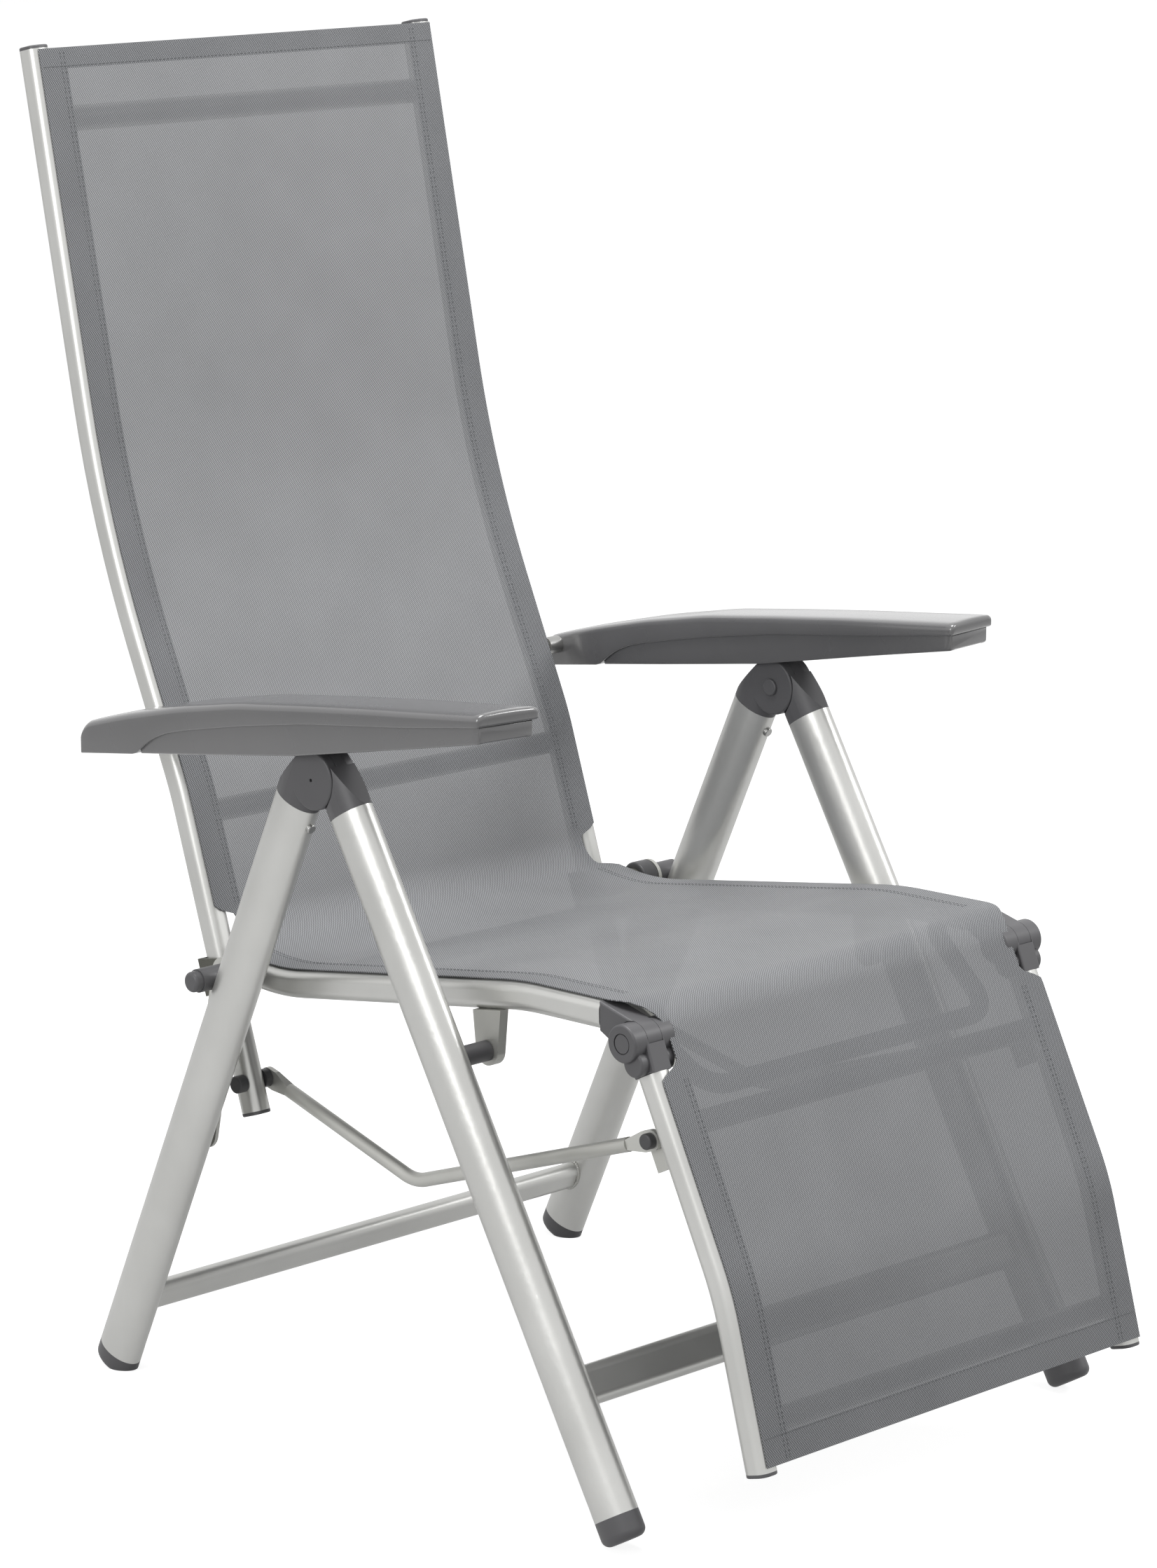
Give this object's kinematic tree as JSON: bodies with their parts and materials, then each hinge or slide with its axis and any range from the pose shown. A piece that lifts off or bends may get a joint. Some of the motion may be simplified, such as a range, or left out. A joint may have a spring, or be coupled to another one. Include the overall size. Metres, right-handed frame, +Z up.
{
  "type": "reclining garden armchair",
  "caption": "Folding high-back garden armchair with a grey mesh sling, a reclining back, a linked rising leg rest, and sliding armrests on a silver tube frame",
  "frame": {"origin": "middle of the bounding box's underside, on the floor between the feet", "axes": "+Z up, the chair faces -Y, +X is the sitter's left"},
  "size_m": [0.604, 0.887, 1.1312],
  "materials": {
    "silver_tube": "satin silver powder coat",
    "painted_steel": "satin silver paint",
    "dark_steel": "satin dark olive grey",
    "hardware_steel": "zinc plated",
    "grey_plastic": "fine matte texture",
    "arm_plastic": "satin texture",
    "sling_fabric": "coated mesh weave, grey with light flecks"
  },
  "bodies": {
    "rear_frame": {"rear_leg_left": "silver_tube", "rear_leg_right": "silver_tube", "rear_crossbar": "silver_tube", "rear_head_left": "grey_plastic", "rear_head_right": "grey_plastic", "rear_feet": "grey_plastic", "hub_pins": "hardware_steel", "rear_head_screws": "hardware_steel"},
    "front_frame": {"front_leg_left": "silver_tube", "front_leg_right": "silver_tube", "front_crossbar": "silver_tube", "front_head_left": "grey_plastic", "front_head_right": "grey_plastic", "front_feet": "grey_plastic", "seat_pivot_bolts": "hardware_steel", "seat_pivot_spacers": "grey_plastic"},
    "seat_frame": {"seat_rail_left": "silver_tube", "seat_rail_right": "silver_tube", "seat_rear_plugs": "grey_plastic", "seat_rear_bar": "silver_tube", "seat_front_bar": "silver_tube", "seat_brackets": "painted_steel", "seat_elbow_left": "grey_plastic", "seat_elbow_right": "grey_plastic", "knee_pins": "hardware_steel", "pivot_axles": "hardware_steel", "pivot_bushes": "grey_plastic", "pivot_sleeve_left": "grey_plastic", "pivot_sleeve_right": "grey_plastic", "seat_sling": "sling_fabric"},
    "hanger_links": {"hanger_link_left": "painted_steel", "hanger_link_right": "painted_steel", "hanger_rivets": "hardware_steel"},
    "back_frame": {"back_rail_left": "silver_tube", "back_rail_right": "silver_tube", "back_top_bar": "silver_tube", "back_lower_bar": "silver_tube", "back_bracket_left": "dark_steel", "back_bracket_right": "dark_steel", "back_rail_plugs": "grey_plastic", "tail_pins": "hardware_steel", "back_sling": "sling_fabric"},
    "leg_rest": {"knee_fork_left": "grey_plastic", "knee_fork_right": "grey_plastic", "legrest_rail_left": "silver_tube", "legrest_rail_right": "silver_tube", "legrest_top_bar": "silver_tube", "legrest_bottom_bar": "silver_tube", "rod_plates": "painted_steel", "legrest_end_plugs": "grey_plastic", "legrest_sling": "sling_fabric"},
    "link_rods": {"link_rod_left": "painted_steel", "link_rod_right": "painted_steel", "rod_front_pins": "hardware_steel"},
    "arm_bolts": {"arm_pivot_bolts": "hardware_steel"},
    "armrest_left": {"armrest_top_left": "arm_plastic", "armrest_base_left": "arm_plastic"},
    "armrest_right": {"armrest_top_right": "arm_plastic", "armrest_base_right": "arm_plastic"}
  },
  "joints": [
    {"name": "fold", "type": "hinge", "parent": "rear_frame", "child": "front_frame", "pos_m": [0, 0.01481, 0.567], "axis": [1, 0, 0], "range_deg": [0, 25]},
    {"name": "seat_fold", "type": "hinge", "parent": "front_frame", "child": "seat_frame", "pos_m": [0, -0.13319, 0.36], "axis": [-1, 0, 0], "range_deg": [0, 17.6]},
    {"name": "link_fold", "type": "hinge", "parent": "seat_frame", "child": "hanger_links", "pos_m": [0, 0.16161, 0.372], "axis": [-1, 0, 0], "range_deg": [0, 46.35]},
    {"name": "recline", "type": "hinge", "parent": "seat_frame", "child": "back_frame", "pos_m": [0, 0.16161, 0.372], "axis": [-1, 0, 0], "range_deg": [0, 36]},
    {"name": "leg_rest_lift", "type": "hinge", "parent": "seat_frame", "child": "leg_rest", "pos_m": [0, -0.29819, 0.4], "axis": [-1, 0, 0], "range_deg": [0, 48.98]},
    {"name": "rod_swing", "type": "hinge", "parent": "back_frame", "child": "link_rods", "pos_m": [0, 0.16717, 0.2715], "axis": [-1, 0, 0], "range_deg": [-33.72, 0]},
    {"name": "arm_carry", "type": "hinge", "parent": "back_frame", "child": "arm_bolts", "pos_m": [0, 0.273, 0.571], "axis": [-1, 0, 0], "range_deg": [0, 7.6]},
    {"name": "armrest_left_swing", "type": "hinge", "parent": "arm_bolts", "child": "armrest_left", "pos_m": [0, 0.273, 0.571], "axis": [-1, 0, 0], "range_deg": [-22.76, 0]},
    {"name": "armrest_right_swing", "type": "hinge", "parent": "arm_bolts", "child": "armrest_right", "pos_m": [0, 0.273, 0.571], "axis": [-1, 0, 0], "range_deg": [-22.76, 0]}
  ],
  "couplings": [
    {"joint": "seat_fold", "follows": "fold", "ratio": 0.7},
    {"joint": "link_fold", "follows": "fold", "ratio": 1.85},
    {"joint": "arm_carry", "follows": "fold", "ratio": 0.3},
    {"joint": "leg_rest_lift", "follows": "recline", "ratio": 1.3579},
    {"joint": "rod_swing", "follows": "recline", "ratio": -0.9338},
    {"joint": "armrest_left_swing", "follows": "recline", "ratio": -0.6295},
    {"joint": "armrest_right_swing", "follows": "recline", "ratio": -0.6295}
  ]
}
